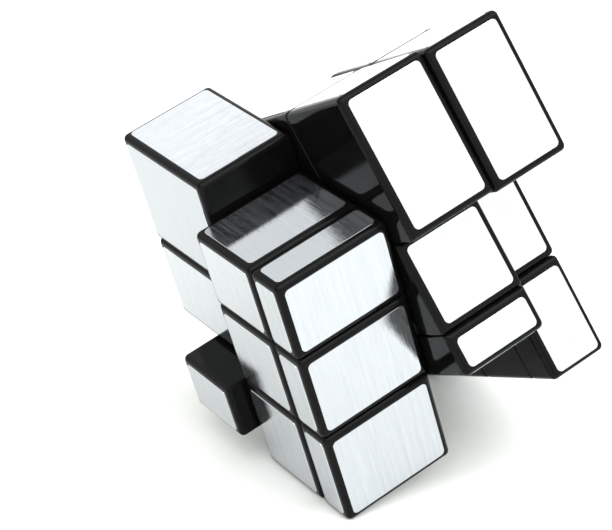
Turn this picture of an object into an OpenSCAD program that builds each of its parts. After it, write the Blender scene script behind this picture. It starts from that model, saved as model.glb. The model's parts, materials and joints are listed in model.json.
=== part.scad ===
// Mirror block cube: a three-layer twisty puzzle whose 26 blocks all turn about
// one core. The middle layers are equally thick; the six faces of the solved
// cube lie at six different distances from the core, so every block has its
// own shape. It is drawn scrambled by two quarter turns, with the left layer
// part way through a third, leaning on one edge and one corner.
// Units are millimetres. The core is the origin before the last placing.

/* [Puzzle] */
// Edge of the solved cube, over the foils
cube_w = 57; // [56.5:0.1:57.5]
// Thickness of every middle layer
slice_w = 19; // [18.8:0.1:19.2]
// Difference between one face distance and the next
face_step = 4; // [3.9:0.02:4.02]
// Space between neighbouring blocks
gap = 0.1; // [0.06:0.01:0.14]
// Chamfer along the edges of the blocks
edge_c = 0.8; // [0.4:0.1:1]

/* [Foils] */
// Thickness of the mirror foils
foil_t = 0.15; // [0.1:0.01:0.2]
// Bare plastic left around each foil
foil_m = 1.45; // [1.2:0.05:1.8]
// Corner radius of the foils
foil_r = 1; // [0.4:0.1:1.6]

/* [Pose] */
// Turn of the middle layer against the left layer, in degrees
turn_mid = -28.3; // [-40:0.1:-20]
// Turn of the right layer against the left layer, in degrees
turn_right = -27.4; // [-40:0.1:-20]
// Lean of the whole puzzle on its left foot edge, in degrees
lean = 17.54; // [15:0.01:20]

/* [Mechanism] */
// Outer radius of the ball that the block feet make
ball_r = 18.3; // [18.2:0.02:18.36]
// Inner radius of the feet
hollow_r = 13; // [12.6:0.1:13.6]
// Half width of the slot between two feet layers
inner_w = 6.5; // [6.3:0.05:6.7]
// Radius of the six centre screws
screw_r = 1.5; // [1.4:0.05:1.5]

/* [Hidden] */

half = slice_w / 2;
hg = gap / 2;
shell_r = ball_r + 0.2;
// Distance of the six faces from the core, thinnest first
dist = [for (i = [0:5]) cube_w / 2 + (i - 2.5) * face_step];
// Moves the leaning puzzle so that it stands on z = 0, centred on its box
place = [3.01, -3.49, 39.05];

// One row per block, by layer: its cell, and the index in dist of each of
// its outer faces along X, Y and Z (the 0 of a middle cell isn't used)
LEFT = [
  [[-1, -1, 1], [4, 0, 2]], [[-1, -1, -1], [4, 0, 3]],
  [[-1, 1, 1], [3, 5, 4]], [[-1, 1, -1], [5, 2, 1]],
  [[-1, -1, 0], [4, 0, 0]], [[-1, 0, 1], [4, 0, 2]],
  [[-1, 0, -1], [4, 0, 3]], [[-1, 1, 0], [3, 5, 0]],
  [[-1, 0, 0], [4, 0, 0]]
];
MIDDLE = [
  [[0, -1, 1], [0, 4, 5]], [[0, -1, -1], [0, 2, 0]],
  [[0, 1, 1], [0, 1, 2]], [[0, 1, -1], [0, 3, 0]],
  [[0, -1, 0], [0, 2, 0]], [[0, 1, 0], [0, 3, 0]],
  [[0, 0, 1], [0, 0, 5]], [[0, 0, -1], [0, 0, 0]]
];
RIGHT = [
  [[1, -1, 1], [2, 4, 5]], [[1, -1, -1], [1, 0, 3]],
  [[1, 1, 1], [0, 1, 2]], [[1, 1, -1], [1, 5, 3]],
  [[1, -1, 0], [1, 0, 0]], [[1, 0, 1], [2, 0, 5]],
  [[1, 0, -1], [1, 0, 3]], [[1, 1, 0], [1, 5, 0]],
  [[1, 0, 0], [1, 0, 0]]
];

// Centre bases, caps and screws, along their own axis from the core
arm_r = 3.6;
arm_l = 10.5;
base_z = 10.7;
floor_z = 12.2;
split_z = 16;
roof_z = 17.3;
post_w = 2 * inner_w - gap;
well_r = 3.3;
ring_r = 4.2;
ring_z = 14.5;
head_r = 2.8;

// ---- placing ----
module stand(turn) {
  translate(place) rotate([0, -lean, 0]) rotate([turn, 0, 0]) children();
}
module toward(c) {
  // turns +Z to the direction of the centre cell c
  if (c.z != 0) rotate([c.z > 0 ? 0 : 180, 0, 0]) children();
  else if (c.y != 0) rotate([-90 * c.y, 0, 0]) children();
  else rotate([0, 90 * c.x, 0]) children();
}

// ---- blocks ----
// Limits of a block along one axis; skin is the foil's thickness, or 0
function low(c, k, skin, m) = c == 0 ? -half + m
  : c > 0 ? half + m : -dist[k] + skin + (skin > 0 ? 0 : m);
function high(c, k, skin, m) = c == 0 ? half - m
  : c < 0 ? -half - m : dist[k] - skin - (skin > 0 ? 0 : m);

module cut_square(u, v) {
  polygon([
    [u[0] + edge_c, v[0]], [u[1] - edge_c, v[0]],
    [u[1], v[0] + edge_c], [u[1], v[1] - edge_c],
    [u[1] - edge_c, v[1]], [u[0] + edge_c, v[1]],
    [u[0], v[1] - edge_c], [u[0], v[0] + edge_c]
  ]);
}

module brick(lo, hi) {
  intersection() {
    translate([0, 0, lo.z]) linear_extrude(hi.z - lo.z)
      cut_square([lo.x, hi.x], [lo.y, hi.y]);
    translate([lo.x, 0, 0]) rotate([90, 0, 90]) linear_extrude(hi.x - lo.x)
      cut_square([lo.y, hi.y], [lo.z, hi.z]);
    translate([0, hi.y, 0]) rotate([90, 0, 0]) linear_extrude(hi.y - lo.y)
      cut_square([lo.x, hi.x], [lo.z, hi.z]);
  }
}

// A box in the octant or quadrant of cell c: middle axes reach mid either
// side, outer axes run from near to far
module sector(c, mid, near, far) {
  size = [for (i = [0:2]) c[i] == 0 ? 2 * mid : far - near];
  at = [for (i = [0:2]) c[i] == 0 ? -mid : c[i] > 0 ? near : -far];
  translate(at) cube(size);
}

function is_corner(c) = abs(c.x) + abs(c.y) + abs(c.z) == 3;

module block(b) {
  c = b[0];
  lo = [for (i = [0:2]) low(c[i], b[1][i], foil_t, hg)];
  hi = [for (i = [0:2]) high(c[i], b[1][i], foil_t, hg)];
  difference() {
    brick(lo, hi);
    sphere(r = shell_r, $fn = 96);
    if (is_corner(c)) sector(c, 0, half - 0.5, half + 2.75);
    else sector(c, 5.05, half - 0.5, half + 5.05);
  }
}

// ---- feet ----
module foot(c) {
  intersection() {
    sector(c, inner_w - hg, inner_w + hg, 20);
    difference() {
      sphere(r = ball_r, $fn = 96);
      sphere(r = hollow_r, $fn = 96);
    }
  }
  if (is_corner(c)) sector(c, 0, half + 0.1, half + 2.7);
  else sector(c, 5, half + 0.1, half + 5);
}
module feet(rows, corners) {
  for (b = rows)
    if (is_corner(b[0]) == corners && norm(b[0]) > 1.1) foot(b[0]);
}

// ---- centres ----
module cap(b) {
  k = max(b[1]);
  top = dist[k] - foil_t;
  toward(b[0]) {
    difference() {
      union() {
        difference() {
          brick([-half + hg, -half + hg, split_z], [half - hg, half - hg, top]);
          sphere(r = shell_r, $fn = 96);
        }
        translate([-post_w / 2, -post_w / 2, split_z])
          cube([post_w, post_w, roof_z + 0.6 - split_z]);
      }
      translate([0, 0, split_z - 1]) cylinder(r = well_r, h = roof_z - split_z + 1, $fn = 48);
    }
    // snap ring that drops into the base
    translate([0, 0, ring_z]) difference() {
      cylinder(r = ring_r - 0.05, h = split_z - ring_z, $fn = 48);
      translate([0, 0, -1]) cylinder(r = well_r, h = split_z - ring_z + 2, $fn = 48);
    }
  }
}
module centre_base(c) {
  toward(c) difference() {
    translate([-post_w / 2, -post_w / 2, base_z])
      cube([post_w, post_w, split_z - base_z]);
    translate([0, 0, base_z - 1]) cylinder(r = screw_r + 0.08, h = 8, $fn = 48);
    translate([0, 0, floor_z]) cylinder(r = well_r, h = 8, $fn = 48);
    translate([0, 0, ring_z]) cylinder(r = ring_r, h = 8, $fn = 48);
  }
}

// ---- foils ----
module tile(u, v) {
  polygon(concat(
    [for (a = [180:30:270]) [u[0] + foil_r + foil_r * cos(a), v[0] + foil_r + foil_r * sin(a)]],
    [for (a = [270:30:360]) [u[1] - foil_r + foil_r * cos(a), v[0] + foil_r + foil_r * sin(a)]],
    [for (a = [0:30:90]) [u[1] - foil_r + foil_r * cos(a), v[1] - foil_r + foil_r * sin(a)]],
    [for (a = [90:30:180]) [u[0] + foil_r + foil_r * cos(a), v[1] - foil_r + foil_r * sin(a)]]
  ));
}
module foil(c, lo, hi, i, h) {
  if (i == 2) translate([0, 0, c.z > 0 ? h - foil_t : -h]) linear_extrude(foil_t)
    tile([lo.x, hi.x], [lo.y, hi.y]);
  if (i == 1) translate([0, c.y > 0 ? h : -h + foil_t, 0]) rotate([90, 0, 0])
    linear_extrude(foil_t) tile([lo.x, hi.x], [lo.z, hi.z]);
  if (i == 0) translate([c.x > 0 ? h - foil_t : -h, 0, 0]) rotate([90, 0, 90])
    linear_extrude(foil_t) tile([lo.y, hi.y], [lo.z, hi.z]);
}
module foils(rows) {
  for (b = rows) {
    lo = [for (i = [0:2]) low(b[0][i], b[1][i], 0, foil_m)];
    hi = [for (i = [0:2]) high(b[0][i], b[1][i], 0, foil_m)];
    for (i = [0:2]) if (b[0][i] != 0) foil(b[0], lo, hi, i, dist[b[1][i]]);
  }
}

// ---- core and its fasteners ----
AXES = [[1, 0, 0], [-1, 0, 0], [0, 1, 0], [0, -1, 0], [0, 0, 1], [0, 0, -1]];

module core() color("dimgray") stand(turn_mid) difference() {
  union() {
    sphere(r = 8, $fn = 96);
    for (c = AXES) toward(c) cylinder(r = arm_r, h = arm_l, $fn = 48);
  }
  for (c = AXES) toward(c) translate([0, 0, 4.5])
    cylinder(r = screw_r + 0.05, h = 8, $fn = 48);
}
module screws() color("silver") stand(turn_mid)
  for (c = AXES) toward(c) difference() {
    union() {
      translate([0, 0, 5]) cylinder(r = screw_r, h = 11.2, $fn = 48);
      translate([0, 0, 15.7]) cylinder(r = head_r, h = 1.4, $fn = 48);
    }
    for (a = [0, 90]) translate([0, 0, 16.8]) rotate([0, 0, a])
      cube([3.4, 0.7, 1.2], center = true);
  }
module washers() color("lightgray") stand(turn_mid)
  for (c = AXES) toward(c) translate([0, 0, 15.25]) difference() {
    cylinder(r = 2.9, h = 0.4, $fn = 48);
    translate([0, 0, -1]) cylinder(r = screw_r + 0.1, h = 3, $fn = 48);
  }

// Spring wire as rings of six points along a helix
coil_r = 2.35;
wire_r = 0.35;
turns = 3;
per_turn = 14;
coil_h = 2.2;
function coil_ring(i) = let (a = 360 * i / per_turn, z = coil_h * i / (turns * per_turn))
  [for (j = [0:5]) let (w = 60 * j)
    [(coil_r + wire_r * cos(w)) * cos(a), (coil_r + wire_r * cos(w)) * sin(a), z + wire_r * sin(w)]];
module coil() {
  n = turns * per_turn;
  pts = [for (i = [0:n]) each coil_ring(i)];
  sides = [for (i = [0:n - 1], j = [0:5])
    [i * 6 + j, i * 6 + (j + 1) % 6, (i + 1) * 6 + (j + 1) % 6, (i + 1) * 6 + j]];
  polyhedron(pts, concat(sides, [[5, 4, 3, 2, 1, 0]], [[for (j = [0:5]) n * 6 + j]]));
}
module springs() color("gray") stand(turn_mid)
  for (c = AXES) toward(c) translate([0, 0, floor_z + wire_r + 0.1]) coil();

// ---- one module per sub-part ----
module centre_base_left() color("#3a3a3c") stand(0) centre_base([-1, 0, 0]);
module centre_bases_middle() color("#3a3a3c") stand(turn_mid)
  for (c = [[0, -1, 0], [0, 1, 0], [0, 0, 1], [0, 0, -1]]) centre_base(c);
module centre_base_right() color("#3a3a3c") stand(turn_right) centre_base([1, 0, 0]);

module cap_left() color("#26262a") stand(0) cap(LEFT[8]);
module cap_front() color("#26262a") stand(turn_mid) cap(MIDDLE[4]);
module cap_back() color("#26262a") stand(turn_mid) cap(MIDDLE[5]);
module cap_top() color("#26262a") stand(turn_mid) cap(MIDDLE[6]);
module cap_bottom() color("#26262a") stand(turn_mid) cap(MIDDLE[7]);
module cap_right() color("#26262a") stand(turn_right) cap(RIGHT[8]);

module corner_left_front_top() color("#1c1c20") stand(0) block(LEFT[0]);
module corner_left_front_bottom() color("#242428") stand(0) block(LEFT[1]);
module corner_left_back_top() color("#2a2a2e") stand(0) block(LEFT[2]);
module corner_left_back_bottom() color("#303034") stand(0) block(LEFT[3]);
module edge_left_front() color("#38383c") stand(0) block(LEFT[4]);
module edge_left_top() color("#3e3e42") stand(0) block(LEFT[5]);
module edge_left_bottom() color("#444448") stand(0) block(LEFT[6]);
module edge_left_back() color("#4a4a4e") stand(0) block(LEFT[7]);

module edge_front_top() color("#1c1c20") stand(turn_mid) block(MIDDLE[0]);
module edge_front_bottom() color("#2a2a2e") stand(turn_mid) block(MIDDLE[1]);
module edge_back_top() color("#38383c") stand(turn_mid) block(MIDDLE[2]);
module edge_back_bottom() color("#444448") stand(turn_mid) block(MIDDLE[3]);

module corner_right_front_top() color("#1c1c20") stand(turn_right) block(RIGHT[0]);
module corner_right_front_bottom() color("#242428") stand(turn_right) block(RIGHT[1]);
module corner_right_back_top() color("#2a2a2e") stand(turn_right) block(RIGHT[2]);
module corner_right_back_bottom() color("#303034") stand(turn_right) block(RIGHT[3]);
module edge_right_front() color("#38383c") stand(turn_right) block(RIGHT[4]);
module edge_right_top() color("#3e3e42") stand(turn_right) block(RIGHT[5]);
module edge_right_bottom() color("#444448") stand(turn_right) block(RIGHT[6]);
module edge_right_back() color("#4a4a4e") stand(turn_right) block(RIGHT[7]);

module corner_feet_left() color("#505058") stand(0) feet(LEFT, true);
module corner_feet_right() color("#505058") stand(turn_right) feet(RIGHT, true);
module edge_feet_left() color("#60606a") stand(0) feet(LEFT, false);
module edge_feet_middle() color("#60606a") stand(turn_mid) feet(MIDDLE, false);
module edge_feet_right() color("#60606a") stand(turn_right) feet(RIGHT, false);

module foils_left() color("#d4d8dc") stand(0) foils(LEFT);
module foils_middle() color("#c8ccd2") stand(turn_mid) foils(MIDDLE);
module foils_right() color("#dce0e4") stand(turn_right) foils(RIGHT);

core();
screws();
springs();
washers();
centre_base_left();
centre_bases_middle();
centre_base_right();
cap_left();
cap_front();
cap_back();
cap_top();
cap_bottom();
cap_right();
corner_left_front_top();
corner_left_front_bottom();
corner_left_back_top();
corner_left_back_bottom();
edge_left_front();
edge_left_top();
edge_left_bottom();
edge_left_back();
edge_front_top();
edge_front_bottom();
edge_back_top();
edge_back_bottom();
corner_right_front_top();
corner_right_front_bottom();
corner_right_back_top();
corner_right_back_bottom();
edge_right_front();
edge_right_top();
edge_right_bottom();
edge_right_back();
corner_feet_left();
corner_feet_right();
edge_feet_left();
edge_feet_middle();
edge_feet_right();
foils_left();
foils_middle();
foils_right();
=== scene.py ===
# A mirror block cube: 26 black blocks with silver brushed foils round one core, scrambled, with
# its layers part way through a turn, standing on one edge and one corner. Metres throughout.
import json
import math

import bpy
from mathutils import Matrix, Vector


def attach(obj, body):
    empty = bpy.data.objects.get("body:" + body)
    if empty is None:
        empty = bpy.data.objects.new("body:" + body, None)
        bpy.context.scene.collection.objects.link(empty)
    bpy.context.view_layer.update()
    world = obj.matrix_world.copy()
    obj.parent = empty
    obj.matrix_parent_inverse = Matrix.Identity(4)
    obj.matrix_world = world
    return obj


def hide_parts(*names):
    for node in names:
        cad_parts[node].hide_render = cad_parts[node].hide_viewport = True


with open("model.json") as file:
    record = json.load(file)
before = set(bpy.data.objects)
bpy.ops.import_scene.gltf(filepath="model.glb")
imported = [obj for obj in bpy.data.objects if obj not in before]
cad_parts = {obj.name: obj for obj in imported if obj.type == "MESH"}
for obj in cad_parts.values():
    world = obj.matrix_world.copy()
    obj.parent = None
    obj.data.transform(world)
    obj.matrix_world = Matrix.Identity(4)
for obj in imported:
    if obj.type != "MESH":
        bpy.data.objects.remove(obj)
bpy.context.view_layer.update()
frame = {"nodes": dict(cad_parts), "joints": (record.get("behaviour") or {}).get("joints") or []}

# ---- sizes ----
MM = 0.001
CUBE = 57 * MM              # edge of the solved cube, over the foils
SLICE = 19 * MM             # thickness of every middle layer
STEP = 4 * MM               # from one face distance to the next
GAP = 0.1 * MM              # space between neighbouring blocks
WELD = 0.002 * MM           # points left closer than this by a cut become one
EDGE_R = 1.15 * MM          # rounding along the edges round a foil
INNER_R = 0.4 * MM          # rounding along the edges between two cut faces
EDGE_STEPS = 6              # facets across those roundings
SMOOTH_BELOW = math.radians(30)
FOIL_T = 0.15 * MM          # thickness of a foil
FOIL_MARGIN = 1.45 * MM     # bare plastic round a foil
FOIL_R = 1.0 * MM           # corner radius of a foil
FOIL_CORNER_STEPS = 8
FOIL_LIP = 0.1 * MM         # soft rim where the foil was stamped out
FOIL_LIP_STEPS = 2
SHELL_R = 18.5 * MM         # hollow inside the blocks, which their feet turn in
CAP_FOOT = 16 * MM          # where a centre cap meets its base
POST = 12.9 * MM            # width of a centre's square post
POST_TOP = 17.9 * MM        # how far up the post reaches into its cap
WELL_R = 3.3 * MM           # screw well in a centre
WELL_FOOT = 13.5 * MM       # where its cut starts, short of the ring
WELL_TOP = 17.3 * MM
RING_R = 4.15 * MM          # snap ring under a cap
RING_FOOT = 14.5 * MM
BALL_STEPS = 64             # facets round the hollow
ROD_STEPS = 48              # facets round the ring and the well
OVERRUN = 0.2 * MM          # how far joined parts run into each other
NEAR = 0.1 * MM             # anything nearer than this is at the same place
HALF = SLICE / 2
FACES = [CUBE / 2 + (i - 2.5) * STEP for i in range(6)]     # from the core, nearest first

# ---- layers: body, turn in degrees, and blocks. A block has its cell and, along X, Y and Z, the
# number of its face distance in FACES, which counts only where the cell isn't 0 ----
LAYERS = {
    "left": ("left_layer", 0.0, {
        "corner_left_front_top": ((-1, -1, 1), (4, 0, 2)),
        "corner_left_front_bottom": ((-1, -1, -1), (4, 0, 3)),
        "corner_left_back_top": ((-1, 1, 1), (3, 5, 4)),
        "corner_left_back_bottom": ((-1, 1, -1), (5, 2, 1)),
        "edge_left_front": ((-1, -1, 0), (4, 0, 0)),
        "edge_left_top": ((-1, 0, 1), (4, 0, 2)),
        "edge_left_bottom": ((-1, 0, -1), (4, 0, 3)),
        "edge_left_back": ((-1, 1, 0), (3, 5, 0)),
        "cap_left": ((-1, 0, 0), (4, 0, 0)),
    }),
    "middle": ("middle_layer", -28.3, {
        "edge_front_top": ((0, -1, 1), (0, 4, 5)),
        "edge_front_bottom": ((0, -1, -1), (0, 2, 0)),
        "edge_back_top": ((0, 1, 1), (0, 1, 2)),
        "edge_back_bottom": ((0, 1, -1), (0, 3, 0)),
        "cap_front": ((0, -1, 0), (0, 2, 0)),
        "cap_back": ((0, 1, 0), (0, 3, 0)),
        "cap_top": ((0, 0, 1), (0, 0, 5)),
        "cap_bottom": ((0, 0, -1), (0, 0, 0)),
    }),
    "right": ("right_layer", -27.4, {
        "corner_right_front_top": ((1, -1, 1), (2, 4, 5)),
        "corner_right_front_bottom": ((1, -1, -1), (1, 0, 3)),
        "corner_right_back_top": ((1, 1, 1), (0, 1, 2)),
        "corner_right_back_bottom": ((1, 1, -1), (1, 5, 3)),
        "edge_right_front": ((1, -1, 0), (1, 0, 0)),
        "edge_right_top": ((1, 0, 1), (2, 0, 5)),
        "edge_right_bottom": ((1, 0, -1), (1, 0, 3)),
        "edge_right_back": ((1, 1, 0), (1, 5, 0)),
        "cap_right": ((1, 0, 0), (1, 0, 0)),
    }),
}
# The axis that each layer's foils are brushed along, by the axis that they face
GRAIN = {"left": (2, 2, 1), "middle": (2, 2, 0), "right": (2, 2, 0)}
CROSSWISE = {("corner_left_back_top", 2): 0}    # foils stuck on the other way round
NUDGES = {                                      # foils stuck a little off the middle
    ("corner_right_front_bottom", 1): Vector((0.15, 0, -0.35)) * MM,
    ("edge_front_bottom", 1): Vector((0.1, 0, -0.2)) * MM,
}
PAINTED_SHADE = {("corner_left_back_top", 0): 0.8}     # foils darkened by painted shade, from 0 to 1, standing in for a darker reflection
PATTERN_SHIFT = (61, 37)                        # mm across and along the grain, foil to foil

hinge = frame["joints"][0]
core_at = Vector(hinge["pos_m"])
lean = math.atan2(hinge["axis"][2], hinge["axis"][0])


# ---- shader nodes ----
class Value:
    """A socket of a material's nodes. Arithmetic on it adds Math nodes."""

    def __init__(self, tree, socket=None):
        self.tree = tree
        self.socket = socket

    def node(self, kind, settings=None, values=None, out=0):
        """Adds one node: its settings first, then the values or links of its sockets."""
        made = self.tree.nodes.new(kind)
        for name, setting in (settings or {}).items():
            if name == "stops":
                ramp = made.color_ramp.elements
                while len(ramp) < len(setting):
                    ramp.new(1.0)
                for stop, (place, tone) in zip(ramp, setting):
                    stop.position = place
                    stop.color = (tone, tone, tone, 1)
            else:
                setattr(made, name, setting)
        for name, value in (values or {}).items():
            socket = made.inputs[name]
            if isinstance(value, Value):
                self.tree.links.new(value.socket, socket)
            else:
                socket.default_value = value
        return Value(self.tree, made.outputs[out]) if made.outputs else None

    def math(self, operation, first, second):
        return self.node("ShaderNodeMath", {"operation": operation}, {0: first, 1: second})

    def __add__(self, other):
        return self.math("ADD", self, other)

    __radd__ = __add__

    def __mul__(self, other):
        return self.math("MULTIPLY", self, other)

    __rmul__ = __mul__

    def __sub__(self, other):
        return self.math("SUBTRACT", self, other)

    def __rsub__(self, other):
        return self.math("SUBTRACT", other, self)


def new_material(name):
    """A material with no nodes yet, and a Value to add nodes with; finish_material adds its shader and
    output.
    """
    material = bpy.data.materials.new(name)
    material.use_nodes = True
    material.node_tree.nodes.clear()
    return material, Value(material.node_tree)


def finish_material(material, nodes, inputs):
    """Adds the shader, with its values or links, and returns the material."""
    surface = nodes.node("ShaderNodeBsdfPrincipled", values=inputs)
    nodes.node("ShaderNodeOutputMaterial", values={"Surface": surface})
    return material


def tint(nodes, amount, first, second):
    """A colour between two, by amount."""
    return nodes.node("ShaderNodeMix", {"data_type": "RGBA"},
                      {0: amount, 6: (*first, 1), 7: (*second, 1)}, out=2)


def stretched(nodes, place, across, along, depth=1.0):
    """Coordinates in units of one feature: across and along are its sizes."""
    return nodes.node("ShaderNodeVectorMath", {"operation": "MULTIPLY"},
                      {0: place, 1: (1 / across, 1 / along, 1 / depth)})


def noise(nodes, place, scale=1.0, detail=2.0, roughness=0.5):
    """Soft noise from 0 to 1; scale is in features a metre, or 1 on stretched coordinates."""
    return nodes.node("ShaderNodeTexNoise", values={
        "Vector": place, "Scale": scale, "Detail": detail, "Roughness": roughness})


def ramp(nodes, amount, stops):
    """Maps amount through stops of place and level."""
    return nodes.node("ShaderNodeValToRGB", {"stops": stops}, {"Fac": amount})


def bump(nodes, height, depth, normal=None):
    """A normal with height's relief, depth metres deep, on top of another normal."""
    values = {"Height": height, "Distance": depth, "Strength": 1.0}
    if normal is not None:
        values["Normal"] = normal
    return nodes.node("ShaderNodeBump", values=values)


# ---- materials ----
def gloss_plastic():
    """Black injection-moulded plastic: nearly mirror smooth, faintly uneven, rubbed along its edges."""
    material, nodes = new_material("gloss_black_plastic")
    place = nodes.node("ShaderNodeTexCoord", out="Object")
    rim = nodes.node("ShaderNodeAttribute", {"attribute_name": "rim"}, out="Fac")
    flow = noise(nodes, place, scale=90)
    grain = noise(nodes, place, scale=2600, roughness=0.6)
    rub = noise(nodes, place, scale=700, detail=4, roughness=0.65)
    worn = rim * ramp(nodes, rub, [(0.46, 0), (0.64, 1)])
    scratch = stretched(nodes, place, across=0.0006, along=0.009, depth=0.004)
    scuffs = ramp(nodes, noise(nodes, scratch, detail=3, roughness=0.6), [(0.60, 0), (0.72, 1)])
    wave = bump(nodes, flow, depth=0.00005)
    return finish_material(material, nodes, {
        "Base Color": tint(nodes, worn * 0.35 + flow * 0.3,
                           (0.0018, 0.0021, 0.0019), (0.009, 0.0095, 0.008)),
        "Roughness": 0.07 + flow * 0.05 + scuffs * 0.08 + worn * 0.16,
        "Specular IOR Level": 0.08,
        "Normal": bump(nodes, grain, depth=0.0000002, normal=wave),
    })


def brushed_foil():
    """Silver film with a brushed grain. Its UV map is in millimetres, across and along the grain."""
    material, nodes = new_material("brushed_silver_foil")
    place = nodes.node("ShaderNodeUVMap", {"uv_map": "grain"})
    hairs = noise(nodes, stretched(nodes, place, across=0.045, along=6), detail=1)
    fine = noise(nodes, stretched(nodes, place, across=0.11, along=9), detail=3, roughness=0.7)
    broad = noise(nodes, stretched(nodes, place, across=0.9, along=26), detail=3, roughness=0.6)
    cloud = noise(nodes, stretched(nodes, place, across=7, along=11))
    scores = noise(nodes, stretched(nodes, place, across=0.22, along=14))
    lines = ramp(nodes, scores, [(0.55, 0), (0.75, 1)])
    streak = fine * 0.5 + broad * 0.5
    # painted shade: darkens the base colour of the listed foils, standing in for the darker reflection
    # they show
    dull = nodes.node("ShaderNodeAttribute", {"attribute_name": "dull"}, out="Fac")
    tone = streak * 1.6 - 0.3 + lines * 0.25 + dull
    uneven = ramp(nodes, fine * 0.6 + broad * 0.4, [(0.42, 0), (0.62, 1)])
    waves = bump(nodes, cloud, depth=0.00002)
    brushed = bump(nodes, fine + lines * 0.5, depth=0.0000035, normal=waves)
    return finish_material(material, nodes, {
        "Base Color": tint(nodes, tone, (0.59, 0.615, 0.645), (0.455, 0.475, 0.505)),
        "Metallic": 1 - uneven * 0.10,
        "Roughness": 0.03 + streak * 0.06 + lines * 0.04,
        "Normal": bump(nodes, hairs, depth=0.000004, normal=brushed),
    })


def matte_plastic():
    """Plain black plastic of the hidden feet, bases and core, with a fine spark-eroded texture."""
    material, nodes = new_material("matte_black_plastic")
    place = nodes.node("ShaderNodeTexCoord", out="Object")
    grain = noise(nodes, place, scale=1800, detail=3, roughness=0.6)
    patch = noise(nodes, place, scale=140)
    return finish_material(material, nodes, {
        "Base Color": tint(nodes, patch, (0.016, 0.016, 0.017), (0.030, 0.030, 0.031)),
        "Roughness": 0.42 + grain * 0.2,
        "Normal": bump(nodes, grain, depth=0.000012),
    })


def turned_steel(name, bright, dull, pitch):
    """Steel from bright to dull, with fine turning or drawing lines, pitch apart."""
    material, nodes = new_material(name)
    place = nodes.node("ShaderNodeTexCoord", out="Object")
    lathe = stretched(nodes, place, across=pitch * 6, along=pitch * 6, depth=pitch)
    rings = noise(nodes, lathe, detail=3, roughness=0.6)
    stain = noise(nodes, place, scale=260, detail=3, roughness=0.55)
    return finish_material(material, nodes, {
        "Base Color": tint(nodes, stain, bright, dull),
        "Metallic": 1.0,
        "Roughness": 0.2 + rings * 0.14 + stain * 0.08,
        "Normal": bump(nodes, rings, depth=0.000004),
    })


BLACK = gloss_plastic()
FOIL = brushed_foil()
MATTE = matte_plastic()
SCREW = turned_steel("zinc_plated_screw", (0.62, 0.64, 0.66), (0.46, 0.48, 0.51), 0.00012)
SPRING = turned_steel("drawn_spring_wire", (0.42, 0.42, 0.42), (0.28, 0.28, 0.29), 0.00008)


# ---- modelling ----
def settle(name):
    """Names the active object and moves its place into its mesh."""
    made = bpy.context.object
    made.name = made.data.name = name
    bpy.ops.object.transform_apply(location=True, rotation=True, scale=True)
    return made


def add_box(name, low, high):
    """A cube primitive from its lowest to its highest corner, its place in its mesh."""
    bpy.ops.object.select_all(action="DESELECT")
    bpy.ops.mesh.primitive_cube_add(size=1, location=(low + high) / 2, scale=high - low)
    return settle(name)


def pick(obj, wanted):
    """Goes into edit mode with only the edges that wanted(first end, second end) picks selected."""
    mesh = obj.data
    bpy.ops.object.mode_set(mode="EDIT")
    bpy.ops.mesh.select_mode(type="EDGE")
    bpy.ops.mesh.select_all(action="DESELECT")
    bpy.ops.object.mode_set(mode="OBJECT")
    for edge in mesh.edges:
        ends = [mesh.vertices[i].co for i in edge.vertices]
        edge.select = wanted(*ends)
    bpy.ops.object.mode_set(mode="EDIT")


def round_picked(radius, steps):
    """Rounds the selected edges and leaves edit mode."""
    bpy.ops.mesh.bevel(offset=radius, segments=steps, profile=0.5, affect="EDGES")
    bpy.ops.object.mode_set(mode="OBJECT")


def boolean(obj, cutter, operation):
    """Cuts or joins cutter into obj, removes cutter, and welds points that are left together."""
    bpy.ops.object.select_all(action="DESELECT")
    bpy.context.view_layer.objects.active = obj
    obj.select_set(True)
    change = obj.modifiers.new(operation.lower(), "BOOLEAN")
    change.object = cutter
    change.operation = operation
    change.solver = "EXACT"
    bpy.ops.object.modifier_apply(modifier=change.name)
    bpy.data.objects.remove(cutter)
    bpy.ops.object.mode_set(mode="EDIT")
    bpy.ops.mesh.select_all(action="SELECT")
    bpy.ops.mesh.remove_doubles(threshold=WELD)
    bpy.ops.object.mode_set(mode="OBJECT")


def cell_limits(cell, faces, margin, skin):
    """Lowest and highest corner of a block, margin inside its cuts and skin inside its outer faces."""
    low, high = Vector(), Vector()
    for axis in range(3):
        far = FACES[faces[axis]] - skin
        if cell[axis] == 0:
            low[axis], high[axis] = -HALF + margin, HALF - margin
        elif cell[axis] > 0:
            low[axis], high[axis] = HALF + margin, far
        else:
            low[axis], high[axis] = -far, -HALF - margin
    return low, high


def add_sphere(name, radius):
    """A ball round the core."""
    bpy.ops.object.select_all(action="DESELECT")
    bpy.ops.mesh.primitive_uv_sphere_add(
        segments=BALL_STEPS, ring_count=BALL_STEPS // 2, radius=radius)
    return settle(name)


def add_rod(name, cell, radius, foot, top):
    """A cylinder along a centre cell's axis, from foot to top."""
    out = Vector(cell)
    bpy.ops.object.select_all(action="DESELECT")
    bpy.ops.mesh.primitive_cylinder_add(
        vertices=ROD_STEPS, radius=radius, depth=top - foot, location=out * (foot + top) / 2,
        rotation=out.to_track_quat("Z", "Y").to_euler())
    return settle(name)


def round_edges(block, outer):
    """Rounds a block's edges, fully round the faces in outer and less between two cut faces."""
    weights = block.data.attributes.new("bevel_weight_edge", "FLOAT", "EDGE")
    for edge, weight in zip(block.data.edges, weights.data):
        ends = [block.data.vertices[i].co for i in edge.vertices]
        bordering = any(all(abs(end[a] - face) < NEAR for end in ends) for a, face in outer.items())
        weight.value = 1.0 if bordering else INNER_R / EDGE_R
    rounding = block.modifiers.new("rounding", "BEVEL")
    rounding.limit_method = "WEIGHT"
    rounding.width = EDGE_R
    rounding.segments = EDGE_STEPS
    bpy.ops.object.modifier_apply(modifier=rounding.name)


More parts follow.
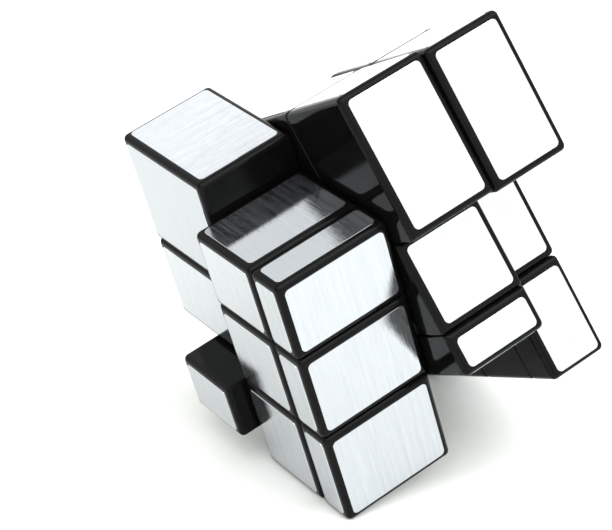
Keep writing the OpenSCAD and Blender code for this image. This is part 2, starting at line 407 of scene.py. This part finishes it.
def mark_rim(obj):
    """Stores how far each point is round an edge: 0 on a flat and inside the hollow, 1 on the crest."""
    rim = obj.data.attributes.new("rim", "FLOAT", "POINT")
    crest = 1 - math.cos(math.radians(45))
    for vertex, mark in zip(obj.data.vertices, rim.data):
        tilt = 1 - max(abs(part) for part in vertex.normal)
        outside = vertex.co.length > SHELL_R + NEAR
        mark.value = min(1.0, tilt / crest) if outside else 0.0


def shade(obj):
    """Smooth roundings beside truly flat faces."""
    bpy.ops.object.select_all(action="DESELECT")
    bpy.context.view_layer.objects.active = obj
    obj.select_set(True)
    bpy.ops.object.shade_smooth_by_angle(angle=SMOOTH_BELOW)
    weights = obj.modifiers.new("flats", "WEIGHTED_NORMAL")
    weights.keep_sharp = True
    weights.weight = 100        # the largest faces count most
    bpy.ops.object.modifier_apply(modifier=weights.name)


def stand(obj, turn):
    """Moves a piece from the cube's own axes to where its layer stands."""
    obj.data.transform(Matrix.Translation(core_at) @ Matrix.Rotation(-lean, 4, "Y")
                       @ Matrix.Rotation(math.radians(turn), 4, "X"))
    obj.data.update()


def make_block(name, cell, faces):
    """One black block with rounded edges, hollow where the feet turn. A centre has its post too."""
    low, high = cell_limits(cell, faces, GAP / 2, FOIL_T)
    centre = sum(map(abs, cell)) == 1
    axis = [abs(side) for side in cell].index(1)
    if centre:
        foot_end = low if cell[axis] > 0 else high
        foot_end[axis] = cell[axis] * CAP_FOOT
    block = add_box(name, low, high)
    round_edges(block, {a: high[a] if cell[a] > 0 else low[a] for a in range(3) if cell[a]})
    boolean(block, add_sphere("hollow", SHELL_R), "DIFFERENCE")
    if centre:
        post_high = Vector((POST / 2,) * 3)
        post_low = -post_high
        post_low[axis], post_high[axis] = sorted((cell[axis] * CAP_FOOT, cell[axis] * POST_TOP))
        boolean(block, add_box("post", post_low, post_high), "UNION")
        boolean(block, add_rod("ring", cell, RING_R, RING_FOOT, CAP_FOOT + OVERRUN), "UNION")
        boolean(block, add_rod("well", cell, WELL_R, WELL_FOOT, WELL_TOP), "DIFFERENCE")
    mark_rim(block)
    shade(block)
    return block


def make_foil(name, cell, faces, axis, grain, number, nudge):
    """One foil on the face of a block that looks along axis, with its grain as a UV map.
    Its number in its layer moves the pattern, so that no two foils are alike."""
    low, high = (end + nudge for end in cell_limits(cell, faces, FOIL_MARGIN, FOIL_MARGIN))
    out = cell[axis] * FACES[faces[axis]]
    back = cell[axis] * (FACES[faces[axis]] - FOIL_T)
    low[axis], high[axis] = sorted((out, back))
    foil = add_box(name, low, high)
    pick(foil, lambda a, b: abs(a[axis] - b[axis]) > NEAR)
    round_picked(FOIL_R, FOIL_CORNER_STEPS)
    pick(foil, lambda a, b: abs(a[axis] - out) < NEAR and abs(b[axis] - out) < NEAR)
    round_picked(FOIL_LIP, FOIL_LIP_STEPS)
    across = 3 - axis - grain
    chart = foil.data.uv_layers.new(name="grain")
    for loop, spot in zip(foil.data.loops, chart.data):
        co = foil.data.vertices[loop.vertex_index].co / MM
        spot.uv = (co[across] + PATTERN_SHIFT[0] * number, co[grain] + PATTERN_SHIFT[1] * number)
    shade(foil)
    return foil


def join(name, parts):
    """Makes one piece of several."""
    bpy.ops.object.select_all(action="DESELECT")
    for part in parts:
        part.select_set(True)
    bpy.context.view_layer.objects.active = parts[0]
    bpy.ops.object.join()
    made = bpy.context.object
    made.name = made.data.name = name
    return made


def hand_over(piece, turn, material, body, node):
    """Puts a finished piece where its layer stands, in place of its CAD node."""
    stand(piece, turn)
    piece.data.materials.clear()
    piece.data.materials.append(material)
    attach(piece, body)
    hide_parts(node)


# ---- the pieces ----
for layer, (body, turn, blocks) in LAYERS.items():
    foils = []
    for node, (cell, faces) in blocks.items():
        block = make_block(node + "_shell", cell, faces)
        hand_over(block, turn, BLACK, body, node)
        for axis in range(3):
            if cell[axis]:
                grain = CROSSWISE.get((node, axis), GRAIN[layer][axis])
                nudge = NUDGES.get((node, axis), Vector())
                foil = make_foil("foil", cell, faces, axis, grain, len(foils) + 1, nudge)
                # painted shade on this foil, from 0 to 1
                dull = foil.data.attributes.new("dull", "FLOAT", "POINT")
                for mark in dull.data:
                    mark.value = PAINTED_SHADE.get((node, axis), 0.0)
                foils.append(foil)
    hand_over(join("mirror_foils_" + layer, foils), turn, FOIL, body, "foils_" + layer)

# The hidden parts stay as their CAD nodes, each with its material
kept = {
    "core": MATTE, "screws": SCREW, "washers": SCREW, "springs": SPRING,
    "centre_base_left": MATTE, "centre_bases_middle": MATTE, "centre_base_right": MATTE,
    "corner_feet_left": MATTE, "corner_feet_right": MATTE,
    "edge_feet_left": MATTE, "edge_feet_middle": MATTE, "edge_feet_right": MATTE,
}
for node, material in kept.items():
    frame["nodes"][node].data.materials.clear()
    frame["nodes"][node].data.materials.append(material)


# ---- floor ----
def pale_floor():
    """Matt white sweep with a faint greenish cast."""
    material, nodes = new_material("white_sweep")
    place = nodes.node("ShaderNodeTexCoord", out="Object")
    fleck = noise(nodes, place, scale=40)
    return finish_material(material, nodes, {
        "Base Color": tint(nodes, fleck, (0.845, 0.855, 0.82), (0.865, 0.875, 0.84)),
        "Roughness": 0.9,
        "Specular IOR Level": 0.2,
    })


bpy.ops.object.select_all(action="DESELECT")
bpy.ops.mesh.primitive_plane_add(size=12)
floor = settle("floor")
floor.data.materials.append(pale_floor())


# ---- light ----
def add_panel(name, place, target, width, height, glow, colour=(1, 1, 1)):
    """A soft panel that glows evenly towards target; glow is its brightness, where white is 1."""
    lamp = bpy.data.lights.new(name, "AREA")
    lamp.shape = "RECTANGLE"
    lamp.size, lamp.size_y = width, height
    lamp.energy = glow * math.pi * width * height
    lamp.color = colour
    made = bpy.data.objects.new(name, lamp)
    bpy.context.scene.collection.objects.link(made)
    made.location = place
    made.rotation_euler = (Vector(target) - Vector(place)).to_track_quat("-Z", "Y").to_euler()


COOL = (0.97, 0.98, 1)
GREENISH = (0.95, 1, 0.95)
add_panel("front_panel", (0.05, -0.95, 0.42), target=(0.05, 0, 0.2), width=2.0, height=0.5, glow=1.15)
add_panel("back_panel", (-0.05, 0.95, 0.465), target=(-0.05, 0, 0.465), width=1.8, height=0.7, glow=0.7)
add_panel("ceiling_panel", (0, 0.8, 1.15), target=core_at, width=1.9, height=0.95, glow=0.36,
          colour=GREENISH)
add_panel("top_panel", (0, -0.66, 1.1), target=(0, -0.66, 0), width=2.8, height=1.3, glow=3.15,
          colour=COOL)

world = bpy.data.worlds.new("studio")
world.use_nodes = True
studio = world.node_tree.nodes["Background"]
studio.inputs["Color"].default_value = (1, 1, 1, 1)
studio.inputs["Strength"].default_value = 0.82
bpy.context.scene.world = world
bpy.context.scene.view_settings.view_transform = "Standard"

# ---- camera ----
CAMERA_AT = (-0.225558, -0.309032, 0.227934)
AZIMUTH = math.radians(34.067)      # from +Y towards +X
DOWN = math.radians(26.242)
ROLL = math.radians(0.611)
LENS_MM = 129.82
SENSOR_MM = 36
forward = Vector((math.cos(DOWN) * math.sin(AZIMUTH), math.cos(DOWN) * math.cos(AZIMUTH), -math.sin(DOWN)))
level = forward.cross(Vector((0, 0, 1))).normalized()
upright = level.cross(forward)
right = math.cos(ROLL) * level + math.sin(ROLL) * upright
up = math.cos(ROLL) * upright - math.sin(ROLL) * level
lens = bpy.data.cameras.new("camera")
lens.lens = LENS_MM
lens.sensor_width = SENSOR_MM
camera = bpy.data.objects.new("camera", lens)
bpy.context.scene.collection.objects.link(camera)
facing = Matrix((right, up, -forward)).transposed().to_4x4()
camera.matrix_world = Matrix.Translation(CAMERA_AT) @ facing
bpy.context.scene.camera = camera
